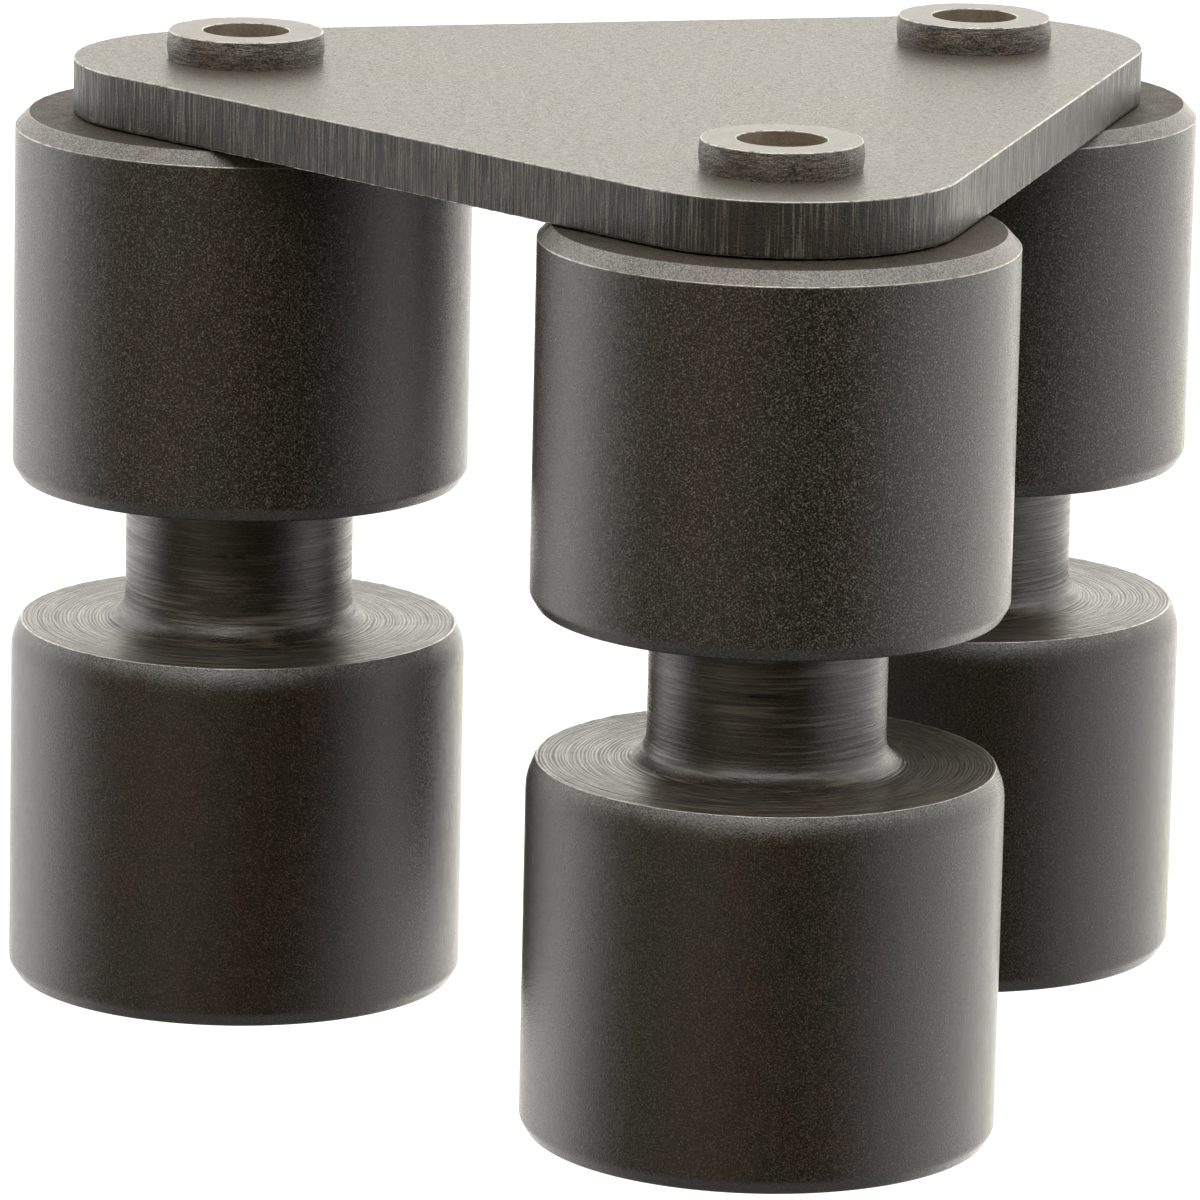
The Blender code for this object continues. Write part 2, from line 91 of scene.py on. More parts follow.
# Radii of the CAD model
POST_RADIUS = 12.7 * MM
ROD_RADIUS = 6.35 * MM
BORE_RADIUS = 10.0 * MM
SNAP_GROOVE_RADIUS = 10.8 * MM
SLIDING_RADIUS = 9.7 * MM
COLLAR_RADIUS = 4.365 * MM
COLLAR_BASE_RADIUS = 4.28 * MM
PORT_RADIUS = 2.38 * MM
SHANK_RADIUS = 3.2 * MM
SHANK_HOLE_RADIUS = 3.5 * MM
STEM_RADIUS = 2.2 * MM
STEM_GUIDE_RADIUS = 2.5 * MM
STEM_BORE_RADIUS = 1.0 * MM
SPRING_COIL_RADIUS = 3.6 * MM
SPRING_POCKET_RADIUS = 4.5 * MM
SPIGOT_RADIUS = 4.5 * MM
SEAL_POCKET_RADIUS = 5.0 * MM
PLUG_RADIUS = 5.2 * MM
PLATE_CORNER_RADIUS = 9.525 * MM

# Other sizes of the CAD model
EDGE_BREAK = 0.75 * MM
ROD_GROOVE_DEPTH = 1.35 * MM
GLAND_GROOVE_DEPTH = 1.2 * MM
SPRING_WIRE = 0.8 * MM
SPRING_TURNS = 8

# Sizes that only the visual pieces have
NECK_FILLET = 1.5 * MM
TURNING_PITCH = 0.22 * MM
SCORE_LEVEL = HEAD_TOP + 5.0 * MM
SCORE_DEPTH = 0.09 * MM
PLATE_LINE_DEPTH = 0.013 * MM
PLATE_RAG_DEPTH = 0.025 * MM
PLATE_BURR_DROP = 0.10 * MM
ARC_STEP = 13.0  # degrees

POSTS = {"front": -90.0, "right": 30.0, "left": 150.0}
# Each post is turned differently, so that its stains and marks are its own
POST_TURNS = {"front": 20.0, "right": 205.0, "left": 118.0}

# The tool's mark goes only part of the way round each neck, in degrees
SCORE_BEARING = -112.0
SCORE_HALF_WIDTH = 21.0

# The camera's direction in degrees, its target and distance, and its focal
# length in millimetres
VIEW_AZIMUTH = -14.209
VIEW_ELEVATION = 13.074
VIEW_ROLL = 1.278
VIEW_TARGET = Vector((-4.481, 0.648, 24.838)) * MM
VIEW_DISTANCE = 511.39 * MM
VIEW_LENS = 280.83


# Meshes


def post_axis(post):
    """The point on the standing surface under a post's centre."""
    low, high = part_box(f"cylinder_body_{post}")
    return Vector(((low.x + high.x) / 2, (low.y + high.y) / 2, 0.0))


def corner(radius, level, rounding=0.0, band=0, arc_band=None):
    """A corner of a turned profile: its rounding, the finish of the band that
    follows it, and the finish of its own arc."""
    return (radius, level, rounding, band, band if arc_band is None else arc_band)


def soften(corners, closed):
    """The rings (radius, level, finish) of a profile with its corners rounded."""
    guard = 0.04 * MM
    rings = []
    count = len(corners)
    for i, (radius, level, rounding, band, arc_band) in enumerate(corners):
        here = Vector((radius, level))
        ends = not closed and i in (0, count - 1)
        if rounding == 0.0 or ends:
            rings.append((radius, level, band))
            continue
        before = Vector(corners[i - 1][:2])
        after = Vector(corners[(i + 1) % count][:2])
        before_band = corners[i - 1][3]
        back = (before - here).normalized()
        ahead = (after - here).normalized()
        half = back.angle(ahead) / 2
        reach = rounding / math.tan(half)
        bisector = (back + ahead).normalized()
        centre = here + bisector * (rounding / math.sin(half))
        first = here + back * reach
        last = here + ahead * reach
        start = math.atan2(first.y - centre.y, first.x - centre.x)
        sweep = math.atan2(last.y - centre.y, last.x - centre.x) - start
        sweep = (sweep + math.pi) % (2 * math.pi) - math.pi
        steps = max(2, math.ceil(abs(sweep) / math.radians(ARC_STEP)))
        if (before - first).length > 3 * guard:
            rings.append((*(first + back * guard), before_band))
        for step in range(steps + 1):
            angle = start + sweep * step / steps
            x = centre.x + rounding * math.cos(angle)
            y = centre.y + rounding * math.sin(angle)
            rings.append((x, y, arc_band if step < steps else band))
        if (after - last).length > 3 * guard:
            rings.append((*(last + ahead * guard), band))
    return rings


def turning_marks(start, end, seed):
    """Corners down a turned rod that dip a little between the tool's passes."""
    first, last = Vector(start), Vector(end)
    count = round((last - first).length / TURNING_PITCH) * 2
    marks = []
    for i in range(1, count):
        uneven = noise.noise(Vector((seed, i * 0.73, 0.5)))
        dip = 0.004 * MM * (1 + noise.noise(Vector((seed + 3, i * 0.41, 1.5))))
        spot = first.lerp(last, (i + 0.35 * uneven) / count)
        marks.append(spot - Vector((dip if i % 2 else 0.0, 0.0)))
    return marks


def mesh_object(name, vertices, faces, bands, materials, sharp_angle=32.0):
    """A smooth-shaded mesh whose sharp edges are marked by their angle."""
    mesh = bpy.data.meshes.new(name)
    mesh.from_pydata(vertices, [], faces)
    for material in materials:
        mesh.materials.append(material)
    for polygon, band in zip(mesh.polygons, bands):
        polygon.material_index = band
        polygon.use_smooth = True
    shape = bmesh.new()
    shape.from_mesh(mesh)
    bmesh.ops.recalc_face_normals(shape, faces=shape.faces)
    limit = math.radians(sharp_angle)
    for edge in shape.edges:
        if len(edge.link_faces) == 2 and edge.calc_face_angle() > limit:
            edge.smooth = False
    shape.to_mesh(mesh)
    shape.free()
    obj = bpy.data.objects.new(name, mesh)
    bpy.context.scene.collection.objects.link(obj)
    return obj


def lathe(name, rings, materials, steps=128, closed=True, shift=None, hexagon=None):
    """A body turned about Z. shift(angle, radius, level) moves a point out and
    up by a little; hexagon(radius, level) says whether a ring has six flats."""
    vertices = []
    rows = []
    for radius, level, _ in rings:
        if radius == 0.0:
            rows.append([len(vertices)] * steps)
            vertices.append((0.0, 0.0, level))
            continue
        row = []
        for step in range(steps):
            angle = 2 * math.pi * step / steps
            reach, height = radius, level
            if hexagon is not None and hexagon(radius, level):
                to_flat = (angle + math.pi / 6) % (math.pi / 3) - math.pi / 6
                reach = radius / math.cos(to_flat)
            if shift is not None:
                out, up = shift(angle, radius, level)
                reach += out
                height += up
            row.append(len(vertices))
            vertices.append((reach * math.cos(angle), reach * math.sin(angle), height))
        rows.append(row)
    faces = []
    bands = []
    count = len(rows)
    for i in range(count if closed else count - 1):
        upper, lower = rows[i], rows[(i + 1) % count]
        for j in range(steps):
            k = (j + 1) % steps
            face = []
            for index in (upper[j], upper[k], lower[k], lower[j]):
                if index not in face:
                    face.append(index)
            if len(face) > 2:
                faces.append(face)
                bands.append(rings[i][2])
    return mesh_object(name, vertices, faces, bands, materials)


def seat(obj, post, body, slot, *nodes):
    """Puts a post's piece on its axis and lets it stand for its CAD nodes."""
    obj.data.transform(Matrix.Rotation(math.radians(POST_TURNS[post]), 4, "Z"))
    obj.location = post_axis(post)
    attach(obj, body)
    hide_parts(*nodes)
    return obj


# Materials


def preset(node, **values):
    """Sets a node's inputs, with their names' spaces written as underscores."""
    for name, value in values.items():
        node.inputs[name.replace("_", " ")].default_value = value


class Nodes:
    """A node tree, with the few steps that build one."""

    def __init__(self, tree):
        self.tree = tree

    def add(self, kind, **settings):
        node = self.tree.nodes.new(kind)
        for key, value in settings.items():
            setattr(node, key, value)
        return node

    def feed(self, socket, value):
        if isinstance(value, bpy.types.NodeSocket):
            self.tree.links.new(value, socket)
        elif socket.type == "RGBA":
            socket.default_value = (*value, 1.0)
        else:
            socket.default_value = value

    def vector(self, operation, first, second):
        """A sum or product of vectors, or with SCALE a vector times a number."""
        node = self.add("ShaderNodeVectorMath", operation=operation)
        self.feed(node.inputs[0], first)
        self.feed(node.inputs["Scale" if operation == "SCALE" else 1], second)
        return node.outputs["Vector"]

    def parts(self, vector):
        node = self.add("ShaderNodeSeparateXYZ")
        self.feed(node.inputs["Vector"], vector)
        return node.outputs

    def math(self, operation, first, second=0.0, third=None):
        node = self.add("ShaderNodeMath", operation=operation)
        self.feed(node.inputs[0], first)
        self.feed(node.inputs[1], second)
        if third is not None:
            self.feed(node.inputs[2], third)
        return node.outputs["Value"]

    def span(self, value, low, high, to_low=0.0, to_high=1.0, smooth=False):
        """The value's share of low to high, as to_low to to_high."""
        node = self.add("ShaderNodeMapRange")
        node.interpolation_type = "SMOOTHSTEP" if smooth else "LINEAR"
        self.feed(node.inputs["Value"], value)
        preset(node, From_Min=low, From_Max=high, To_Min=to_low, To_Max=to_high)
        return node.outputs["Result"]

    def mix(self, share, first, second):
        node = self.add("ShaderNodeMix", data_type="RGBA")
        self.feed(node.inputs["Factor"], share)
        for name, value in (("A", first), ("B", second)):
            socket = [s for s in node.inputs if s.name == name and s.type == "RGBA"][0]
            self.feed(socket, value)
        return [s for s in node.outputs if s.type == "RGBA"][0]

    def scaled(self, color, factor):
        return self.vector("SCALE", color, factor)


class Finish(Nodes):
    """A node-based material in metres."""

    def __init__(self, name):
        self.material = bpy.data.materials.new(name)
        self.material.use_nodes = True
        super().__init__(self.material.node_tree)
        self.shader = self.tree.nodes["Principled BSDF"]
        self.place = self.add("ShaderNodeTexCoord").outputs["Object"]
        # Moved by a length that is each post's own, so that no two look the same
        axis = self.add("ShaderNodeObjectInfo").outputs["Location"]
        self.own = self.vector("MULTIPLY", axis, (5.0, 7.0, 0.0))
        self.point = self.vector("ADD", self.place, self.own)

    def stretched(self, x, y, z):
        """The point in the piece, times a number of cells a metre on each axis."""
        node = self.add("ShaderNodeMapping")
        self.feed(node.inputs["Vector"], self.point)
        node.inputs["Scale"].default_value = (x, y, z)
        return node.outputs["Vector"]

    def offset(self):
        """The level offset from the post's axis."""
        return self.vector("MULTIPLY", self.place, (1.0, 1.0, 0.0))

    def radius(self):
        length = self.add("ShaderNodeVectorMath", operation="LENGTH")
        self.feed(length.inputs[0], self.offset())
        return length.outputs["Value"]

    def height(self):
        return self.parts(self.place)["Z"]

    def around(self, along_radius, about_axis, along_axis):
        """Coordinates that follow a turned surface: radius, bearing and height."""
        bearing = self.add("ShaderNodeVectorMath", operation="NORMALIZE")
        self.feed(bearing.inputs[0], self.offset())
        swept = self.vector("SCALE", bearing.outputs["Vector"], about_axis)
        radial = self.math("MULTIPLY", self.radius(), along_radius)
        axial = self.math("MULTIPLY", self.height(), along_axis)
        lifted = self.add("ShaderNodeCombineXYZ")
        self.feed(lifted.inputs["Z"], self.math("ADD", radial, axial))
        total = self.vector("ADD", swept, lifted.outputs["Vector"])
        return self.vector("ADD", total, self.vector("SCALE", self.own, 300.0))

    def noise(self, vector, scale, detail=2.0, roughness=0.5):
        node = self.add("ShaderNodeTexNoise")
        self.feed(node.inputs["Vector"], vector)
        preset(node, Scale=scale, Detail=detail, Roughness=roughness)
        return node.outputs["Fac"]

    def spread(self, noise_value, to_low=0.0, to_high=1.0):
        """The range that a noise seldom leaves, as to_low to to_high."""
        return self.span(noise_value, 0.3, 0.7, to_low, to_high)

    def relief(self, *layers):
        """Bumps laid over each other, each a height and a depth in millimetres."""
        normal = None
        for height, depth in layers:
            node = self.add("ShaderNodeBump")
            self.feed(node.inputs["Height"], height)
            preset(node, Distance=depth * MM, Strength=1.0)
            if normal is not None:
                self.feed(node.inputs["Normal"], normal)
            normal = node.outputs["Normal"]
        return normal

    def brushed(self, amount):
        """Spreads the shine across turning marks that run about Z."""
        tangent = self.add("ShaderNodeTangent", direction_type="RADIAL", axis="Z")
        self.feed(self.shader.inputs["Tangent"], tangent.outputs["Tangent"])
        preset(self.shader, Anisotropic=amount, Anisotropic_Rotation=0.25)

    def wear(self, color, roughness, normal=None, metallic=1.0):
        self.feed(self.shader.inputs["Base Color"], color)
        self.feed(self.shader.inputs["Roughness"], roughness)
        self.feed(self.shader.inputs["Metallic"], metallic)
        if normal is not None:
            self.feed(self.shader.inputs["Normal"], normal)
        return self.material


# The oxide's two tints, and the steel where it shows through
BROWN = (0.027, 0.012, 0.005)
GREEN_GREY = (0.022, 0.016, 0.007)
BARE = (0.300, 0.300, 0.280)
OXIDE_IOR = 1.9


def oxide(finish, color, roughness, normal, ior=OXIDE_IOR):
    """Black oxide: a dark, warm body colour under a hard, clear shine."""
    finish.shader.inputs["IOR"].default_value = ior
    return finish.wear(color, roughness, normal, 0.0)


def oxide_color(finish, brown=BROWN, grey=GREEN_GREY, grain=0.9, bare=0.55, fleck=BARE):
    """Mottled black oxide: clouds of two tints, a fine grain and paler flecks."""
    clouds = finish.noise(finish.stretched(1, 1, 0.45), 200, 3.0, 0.6)
    color = finish.mix(finish.span(clouds, 0.42, 0.58, smooth=True), brown, grey)
    patches = finish.noise(finish.point, 1100, 3.0, 0.65)
    fine = finish.noise(finish.point, 10500, 2.0, 0.8)
    shade = finish.math(
        "ADD",
        finish.spread(patches, 0.70, 1.30),
        finish.span(fine, 0.38, 0.62, -grain, grain),
    )
    color = finish.scaled(color, finish.math("MAXIMUM", shade, 0.05))
    return finish.mix(finish.span(fine, 0.53, 0.68, 0.0, bare), color, fleck), fine, patches


def black_oxide_land(name, bare, roughness, rubbed_edge):
    """The turned, tumbled and blackened sides of the posts, paler towards the
    edge at the level rubbed_edge: partly where handling has thinned the oxide, partly a painted
    highlight for the light that the rounded edge catches from above."""
    finish = Finish(name)
    color, fine, patches = oxide_color(finish, bare=bare)
    ragged_height = finish.math("MULTIPLY_ADD", patches, 0.9 * MM, finish.height())
    # Paler towards the top edge: part wear, part painted highlight
    rubbed_and_sheen = finish.span(ragged_height, rubbed_edge - 0.5 * MM, rubbed_edge + 0.4 * MM, smooth=True)
    pale = finish.scaled(finish.mix(0.5, BARE, GREEN_GREY), finish.span(fine, 0.40, 0.62, 0.0, 1.7))
    color = finish.mix(finish.math("MULTIPLY", rubbed_and_sheen, 0.6), color, pale)
    lines = finish.noise(finish.around(0, 2.2, 9000), 1.0, 2.0, 0.6)
    shine = finish.spread(patches, roughness - 0.03, roughness + 0.04)
    normal = finish.relief((lines, 0.0015), (fine, 0.034))
    return oxide(finish, color, shine, normal)


def black_oxide_chamfer():
    """A broken edge, where the blackening is thin and the steel shows lighter."""
    finish = Finish("black_oxide_chamfer")
    color, fine, patches = oxide_color(finish, (0.140, 0.114, 0.088), (0.145, 0.138, 0.118), 1.0)
    normal = finish.relief((patches, 0.030), (fine, 0.026))
    return oxide(finish, color, finish.spread(patches, 0.24, 0.36), normal)


def shoulder_face():
    """The brown, unrubbed ring that shows under the plate."""
    finish = Finish("shoulder_face")
    color, fine, patches = oxide_color(
        finish, (0.042, 0.024, 0.014), (0.038, 0.027, 0.017), 1.2, 0.4
    )
    normal = finish.relief((patches, 0.030), (fine, 0.030))
    return oxide(finish, color, finish.spread(patches, 0.50, 0.70), normal, 1.45)


def bright_edge():
    """A rubbed edge: bare steel in some places and oxide in others."""
    finish = Finish("rubbed_edge")
    worn = finish.noise(finish.point, 1700, 3.0, 0.7)
    fine = finish.noise(finish.point, 9000, 2.0, 0.6)
    share = finish.span(finish.math("ADD", worn, finish.math("MULTIPLY", fine, 0.4)), 0.45, 0.75)
    color = finish.mix(share, (0.08, 0.062, 0.046), (0.60, 0.58, 0.54))
    normal = finish.relief((fine, 0.012))
    finish.shader.inputs["IOR"].default_value = OXIDE_IOR
    return finish.wear(color, 0.36, normal, share)


def turned_face():
    """A faced surface, with rings that follow the tool."""
    finish = Finish("turned_face")
    color, fine, _ = oxide_color(finish, (0.036, 0.020, 0.010), (0.034, 0.025, 0.013), 0.9, 0.40)
    waver = finish.noise(finish.around(2500, 1.3, 0), 1.0, 2.0, 0.5)
    turns = finish.math("MULTIPLY", finish.radius(), 1 / (0.20 * MM))
    turns = finish.math("ADD", turns, finish.math("MULTIPLY", waver, 1.6))
    wave = finish.math("PINGPONG", turns, 0.5)
    streaks = finish.noise(finish.around(16000, 3.0, 0), 1.0, 2.0, 0.6)
    shade = finish.math(
        "MULTIPLY",
        finish.span(wave, 0.0, 0.30, 0.20, 1.25),
        finish.span(streaks, 0.35, 0.65, 0.10, 1.70),
    )
    color = finish.scaled(color, shade)
    color = finish.mix(finish.span(streaks, 0.53, 0.62, 0.0, 0.70), color, (0.25, 0.21, 0.16))
    both = finish.math("MULTIPLY_ADD", fine, 0.6, streaks)
    both = finish.math("MULTIPLY_ADD", wave, 0.9, both)
    roughness = finish.span(both, 0.65, 1.30, 0.56, 0.16)
    normal = finish.relief((wave, 0.024), (streaks, 0.010), (fine, 0.018))
    finish.brushed(0.5)
    return oxide(finish, color, roughness, normal)


def turned_neck():
    """The rod between the head and the cylinder, with fine lines round it."""
    finish = Finish("turned_neck")
    color, fine, _ = oxide_color(finish, (0.030, 0.015, 0.007), (0.026, 0.017, 0.008), 0.8, 0.30)
    lines = finish.noise(finish.around(7000, 1.2, 8500), 1.0, 3.0, 0.7)
    marks = finish.noise(finish.around(3000, 1.0, 3200), 1.0, 2.0, 0.5)
    shade = finish.math(
        "MULTIPLY",
        finish.spread(lines, 0.25, 1.75),
        finish.span(marks, 0.30, 0.40, 0.1, 1.0),
    )
    color = finish.scaled(color, shade)
    color = finish.mix(finish.span(lines, 0.52, 0.64, 0.0, 0.7), color, (0.17, 0.14, 0.11))
    # Paler bands round the neck: partly wear, partly a painted highlight in place of the neck's
    # reflections
    worn = finish.noise(finish.around(0, 0.9, 900), 1.0, 3.0, 0.7)
    worn = finish.math("MULTIPLY", finish.span(worn, 0.48, 0.60), finish.span(lines, 0.42, 0.60))
    color = finish.mix(worn, color, (0.245, 0.218, 0.180))
    normal = finish.relief((lines, 0.026), (marks, 0.026), (fine, 0.022))
    finish.brushed(0.4)
    return oxide(finish, color, finish.span(lines, 0.35, 0.65, 0.42, 0.14), normal)


def plate_face():
    """The plate's flat, ground a little and blackened."""
    finish = Finish("plate_face")
    clouds = finish.noise(finish.point, 130, 3.0, 0.6)
    color = finish.mix(finish.span(clouds, 0.4, 0.6), (0.096, 0.082, 0.056), (0.092, 0.084, 0.062))
    streaks = finish.noise(finish.stretched(1500, 3600, 1), 1.0, 2.0, 0.6)
    fine = finish.noise(finish.point, 8000, 2.0, 0.8)
    shade = finish.math(
        "ADD",
        finish.spread(streaks, 0.80, 1.20),
        finish.spread(fine, -0.9, 0.9),
    )
    pits = finish.noise(finish.point, 3300, 2.0, 0.6)
    worn = finish.span(pits, 0.27, 0.38, 0.3, 1.0)
    shade = finish.math("MULTIPLY", finish.math("MAXIMUM", shade, 0.1), worn)
    both = finish.math("ADD", finish.math("MULTIPLY", streaks, 0.4), fine)
    both = finish.math("MULTIPLY", both, worn)
    roughness = finish.span(both, 0.40, 0.98, 0.56, 0.24)
    normal = finish.relief((streaks, 0.004), (fine, 0.016))
    return oxide(finish, finish.scaled(color, shade), roughness, normal)


def plate_side():
    """The sheared edge, with lines that run up the plate's thickness."""
    finish = Finish("plate_side")
    clouds = finish.noise(finish.point, 420, 3.0, 0.6)
    brown, grey = (0.034, 0.020, 0.012), (0.034, 0.028, 0.019)
    color = finish.mix(finish.span(clouds, 0.40, 0.62), brown, grey)
    lines = finish.noise(finish.stretched(7500, 7500, 260), 1.0, 3.0, 0.7)
    fine = finish.noise(finish.point, 9500, 2.0, 0.8)
    shade = finish.math(
        "ADD",
        finish.span(lines, 0.42, 0.62, 0.0, 2.4),
        finish.spread(fine, -0.9, 0.9),
    )
    color = finish.scaled(color, finish.math("MAXIMUM", shade, 0.05))
    scored = finish.math(
        "MULTIPLY", finish.span(lines, 0.53, 0.62), finish.span(clouds, 0.40, 0.58, 0.08, 0.60)
    )
    color = finish.mix(scored, color, (0.26, 0.245, 0.21))
    normal = finish.relief((lines, 0.080), (fine, 0.045))
    return oxide(finish, color, finish.span(lines, 0.40, 0.62, 0.50, 0.16), normal)


def collar_side():
    """The collar's rough side, with short lines round it."""
    finish = Finish("collar_side")
    clouds = finish.noise(finish.point, 700, 3.0, 0.65)
    brown, grey = (0.100, 0.070, 0.048), (0.100, 0.088, 0.068)
    color = finish.mix(finish.span(clouds, 0.40, 0.60), brown, grey)
    lines = finish.noise(finish.around(0, 5.0, 6500), 1.0, 3.0, 0.7)
    fine = finish.noise(finish.point, 8500, 2.0, 0.8)
    shade = finish.math(
        "ADD",
        finish.span(lines, 0.38, 0.62, 0.3, 1.7),
        finish.span(fine, 0.38, 0.62, -0.9, 0.9),
    )
    shade = finish.math("MAXIMUM", shade, 0.05)
    normal = finish.relief((lines, 0.070), (fine, 0.030))
    return oxide(finish, finish.scaled(color, shade), 0.32, normal)


def collar_face(name, dark, light):
    """A port's ring-shaped sealing face, or the wall of its bore: both are paler
    than the rest. The bore wall's paleness is painted light that lights the inside of the hole."""
    finish = Finish(name)
    clouds = finish.noise(finish.point, 900, 3.0, 0.6)
    color = finish.mix(finish.span(clouds, 0.35, 0.65), dark, light)
    fine = finish.noise(finish.point, 9500, 2.0, 0.7)
    rings = finish.noise(finish.around(6500, 2.0, 0), 1.0, 2.0, 0.6)
    shade = finish.math(
        "ADD",
        finish.spread(rings, 0.85, 1.15),
        finish.span(fine, 0.35, 0.65, -0.25, 0.25),
    )
    normal = finish.relief((rings, 0.004), (fine, 0.005))
    return oxide(finish, finish.scaled(color, shade), 0.36, normal)


def machined(name, light, dark, roughness, metallic=1.0, lines=6000, bump=0.004):
    """A machined inner piece: two tints of one metal and fine lines round it."""
    finish = Finish(name)
    clouds = finish.noise(finish.point, 500, 3.0, 0.6)
    color = finish.mix(finish.span(clouds, 0.35, 0.65), dark, light)
    rings = finish.noise(finish.around(lines, 1.5, lines), 1.0, 2.0, 0.6)
    shade = finish.spread(rings, 0.85, 1.12)
    normal = finish.relief((rings, bump))
    return finish.wear(finish.scaled(color, shade), roughness, normal, metallic)


def seal_rubber():
    """Moulded rubber, matt, with a very fine grain."""
    finish = Finish("moulded_rubber")
    grain = finish.noise(finish.point, 5200, 3.0, 0.65)
    clouds = finish.noise(finish.point, 600, 2.0, 0.5)
    dark, light = (0.014, 0.014, 0.015), (0.024, 0.023, 0.023)
    color = finish.mix(finish.span(clouds, 0.35, 0.65), dark, light)
    roughness = finish.spread(grain, 0.55, 0.72)
    return finish.wear(color, roughness, finish.relief((grain, 0.006)), 0.0)


# The heads' lands get far fewer pale flecks than the cylinders' lands, so the lower lands read
# darker
CYLINDER_LAND = black_oxide_land("cylinder_land", 0.75, 0.22, CYLINDER_TOP)
HEAD_LAND = black_oxide_land("head_land", 0.22, 0.20, HEAD_TOP)
CHAMFER = black_oxide_chamfer()
SHOULDER = shoulder_face()
EDGE = bright_edge()
FACE = turned_face()
NECK = turned_neck()
PLATE_FACE = plate_face()
PLATE_SIDE = plate_side()
COLLAR_SIDE = collar_side()
# The bore wall is painted pale: painted light inside the hole, where it would be in shade
PORT_WALL_PAINTED_LIT = collar_face("port_wall_painted_lit", (0.230, 0.175, 0.125), (0.280, 0.240, 0.185))
COLLAR_FACE = collar_face("collar_face", (0.120, 0.100, 0.072), (0.150, 0.138, 0.112))
BRONZE = machined("bearing_bronze", (0.62, 0.40, 0.17), (0.46, 0.27, 0.10), 0.34)
ALLOY = machined("light_alloy_turned", (0.70, 0.71, 0.73), (0.60, 0.61, 0.63), 0.28)
SPRING_STEEL = machined("spring_steel_plated", (0.50, 0.50, 0.50), (0.36, 0.36, 0.37), 0.30)
RUBBER = seal_rubber()


# The plate


def plate_outline(spacing):
    """Points (x, y, outward x, outward y, run) evenly along the plate's edge."""
    posts = [post_axis(post) for post in POSTS]
    outline = []
    run = 0.0
    for i, (post, degrees) in enumerate(POSTS.items()):
        axis = posts[i]
        length = math.radians(120) * PLATE_CORNER_RADIUS
        steps = round(length / spacing)
        for step in range(steps):
            angle = math.radians(degrees - 60 + 120 * step / steps)
            out = Vector((math.cos(angle), math.sin(angle), 0.0))
            spot = axis + out * PLATE_CORNER_RADIUS
            outline.append((spot.x, spot.y, out.x, out.y, run + length * step / steps))
        run += length
        after = posts[(i + 1) % len(posts)]
        angle = math.radians(degrees + 60)
        out = Vector((math.cos(angle), math.sin(angle), 0.0))
        length = (after - axis).length
        steps = round(length / spacing)
        for step in range(steps):
            spot = axis.lerp(after, step / steps) + out * PLATE_CORNER_RADIUS
            outline.append((spot.x, spot.y, out.x, out.y, run + length * step / steps))
        run += length
    return outline


def plate_rows():
    """Rows up the plate's edge: its level, its inset in mm, shares of the cut
    lines, the ragged rim and the hanging burr, and its finish."""
    thickness = PLATE_TOP - PLATE_BOTTOM
    side, rim = 1, 2
    rows = [
        (PLATE_BOTTOM, 0.16, 0.0, 0.0, 0.0, side),
        (PLATE_BOTTOM, 0.07, 0.2, 0.4, 0.35, rim),
        (PLATE_BOTTOM + 0.05 * MM, 0.03, 0.8, 1.0, 0.3, side),
        (PLATE_BOTTOM + 0.16 * MM, 0.035, 1.6, 0.4, 0.1, side),
    ]
    for share in (0.12, 0.22, 0.34, 0.48, 0.62, 0.76, 0.88):
        lines = 1.8 if share < 0.3 else 1.2
        rows.append((PLATE_BOTTOM + thickness * share, 0.035, lines, 0.0, 0.0, side))
    rows += [
        (PLATE_TOP - 0.08 * MM, 0.03, 0.9, 0.0, 0.0, rim),
        (PLATE_TOP - 0.03 * MM, 0.035, 0.5, 0.35, 0.0, rim),
        (PLATE_TOP - 0.008 * MM, 0.055, 0.2, 0.5, 0.0, rim),
        (PLATE_TOP, 0.09, 0.0, 0.4, 0.0, rim),
    ]
    return rows


